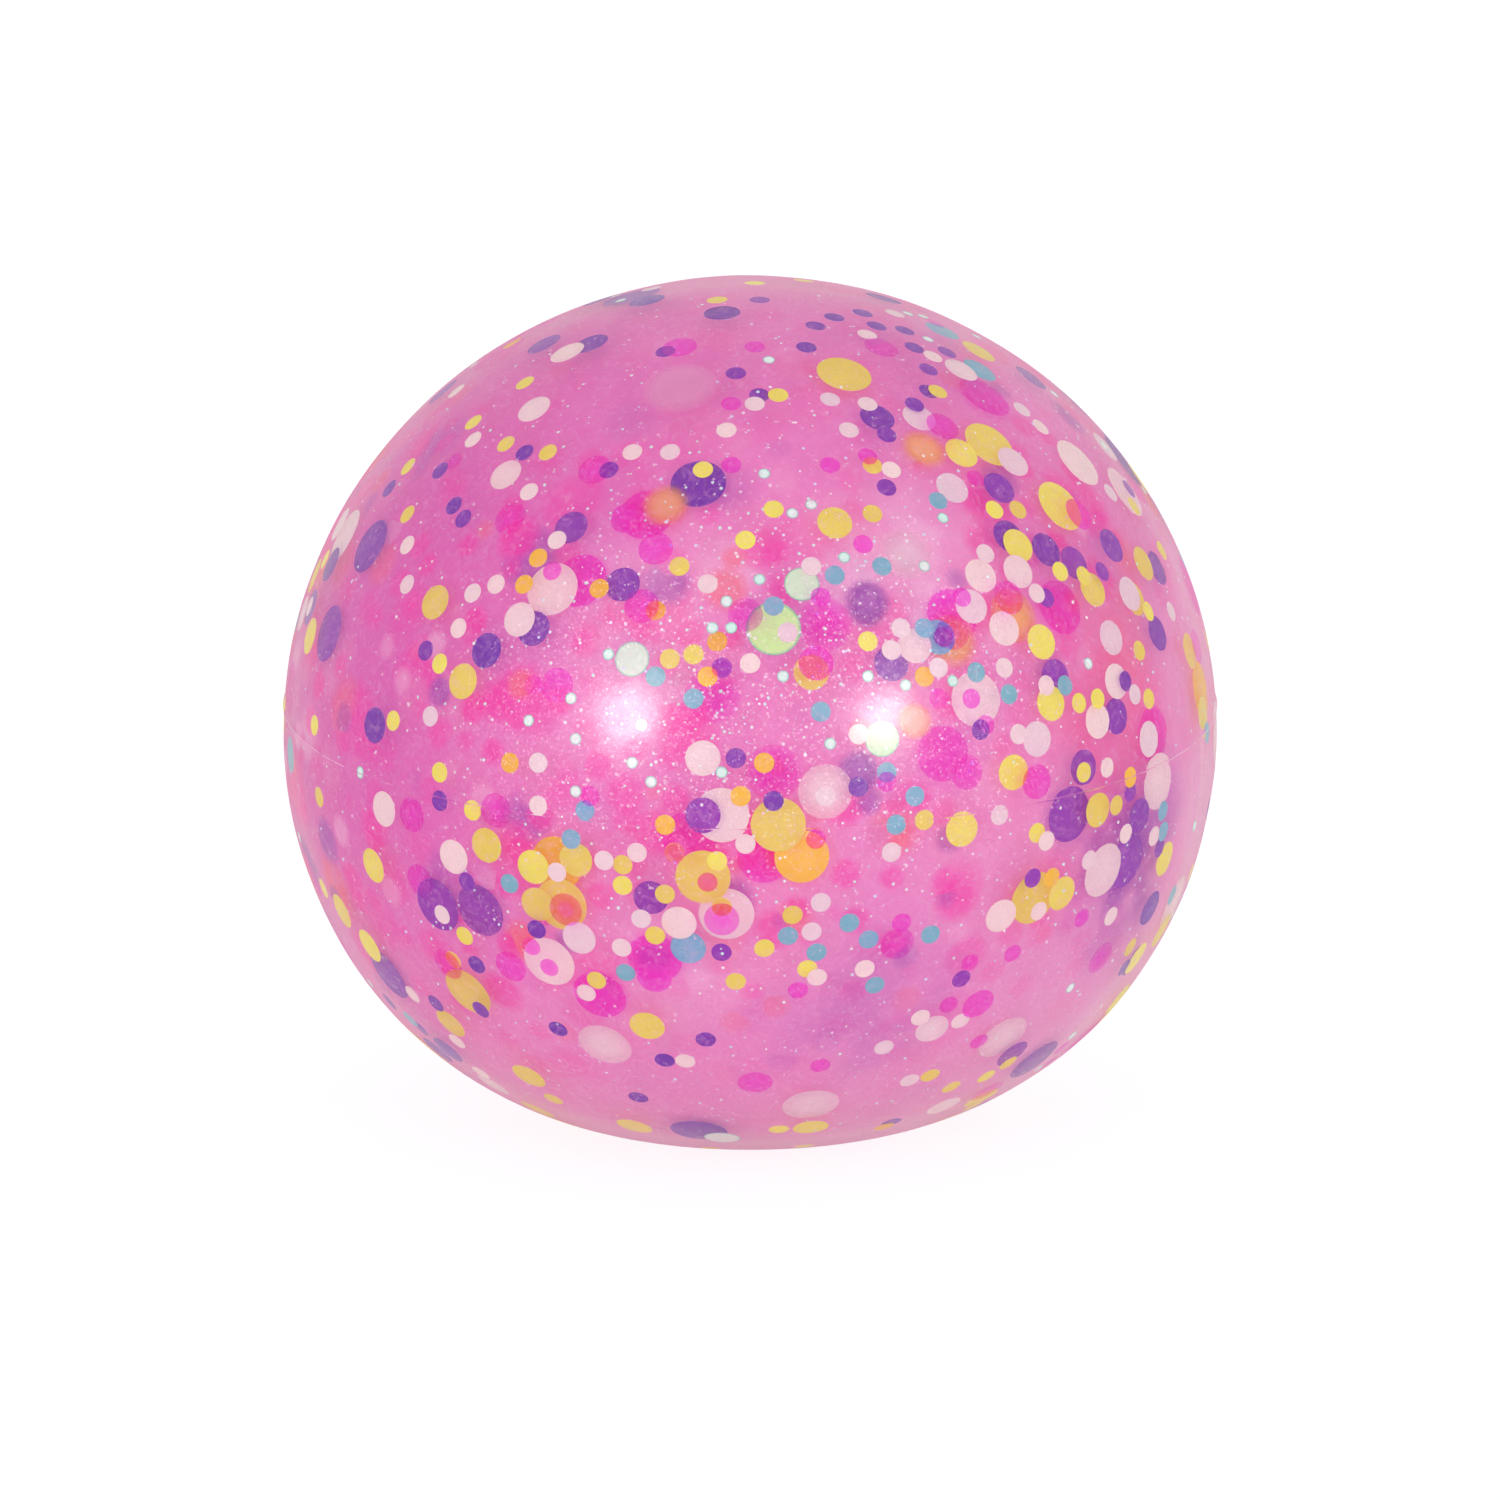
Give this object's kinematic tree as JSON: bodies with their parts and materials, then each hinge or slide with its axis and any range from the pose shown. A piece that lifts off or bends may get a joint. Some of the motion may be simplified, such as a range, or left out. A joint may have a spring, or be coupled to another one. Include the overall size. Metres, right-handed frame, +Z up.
{
  "type": "glitter squeeze ball",
  "caption": "Soft clear-skinned squeeze ball filled with pink gel and round multicoloured glitter, sagged a little under its own weight, that squashes down and springs back.",
  "frame": {"origin": "middle of the flat that the ball rests on", "axes": "+Z up out of the crown, -Y towards the front with the filler plug, +X to the right seen from the front"},
  "size_m": [0.0702, 0.0702, 0.0635],
  "materials": {
    "skin": "gloss",
    "plug": "satin",
    "gel": "gloss",
    "iridescent": "gloss",
    "pink_glitter": "gloss",
    "pearl_glitter": "gloss",
    "blue_glitter": "gloss",
    "yellow_glitter": "gloss",
    "orange_glitter": "gloss",
    "purple_glitter": "gloss"
  },
  "bodies": {
    "base": {"skin_lower": "skin"},
    "crown": {"skin_upper": "skin", "fill_plug": "plug"},
    "filling": {"gel": "gel", "iridescent_flakes": "iridescent", "iridescent_dots_medium": "iridescent", "iridescent_dots_large": "iridescent", "pink_dots_small": "pink_glitter", "pink_dots_medium": "pink_glitter", "pink_dots_large": "pink_glitter", "pearl_dots_small": "pearl_glitter", "pearl_dots_medium": "pearl_glitter", "pearl_dots_large": "pearl_glitter", "blue_dots_small": "blue_glitter", "blue_dots_medium": "blue_glitter", "yellow_dots_small": "yellow_glitter", "yellow_dots_medium": "yellow_glitter", "yellow_dots_large": "yellow_glitter", "orange_dots_small": "orange_glitter", "orange_dots_large": "orange_glitter", "purple_dots_small": "purple_glitter", "purple_dots_medium": "purple_glitter", "purple_dots_large": "purple_glitter"}
  },
  "joints": [
    {"name": "squeeze", "type": "slide", "parent": "base", "child": "crown", "axis": [0, 0, -1], "range_m": [0, 0.022], "stiffness_N_per_m": 1500, "deforming": ["skin_lower", "gel", "iridescent_flakes", "iridescent_dots_medium", "iridescent_dots_large", "pink_dots_small", "pink_dots_medium", "pink_dots_large", "pearl_dots_small", "pearl_dots_medium", "pearl_dots_large", "blue_dots_small", "blue_dots_medium", "yellow_dots_small", "yellow_dots_medium", "yellow_dots_large", "orange_dots_small", "orange_dots_large", "purple_dots_small", "purple_dots_medium", "purple_dots_large"]},
    {"name": "swirl", "type": "hinge", "parent": "base", "child": "filling", "pos_m": [0, 0, 0], "axis": [0, 0, 1], "continuous": true}
  ]
}
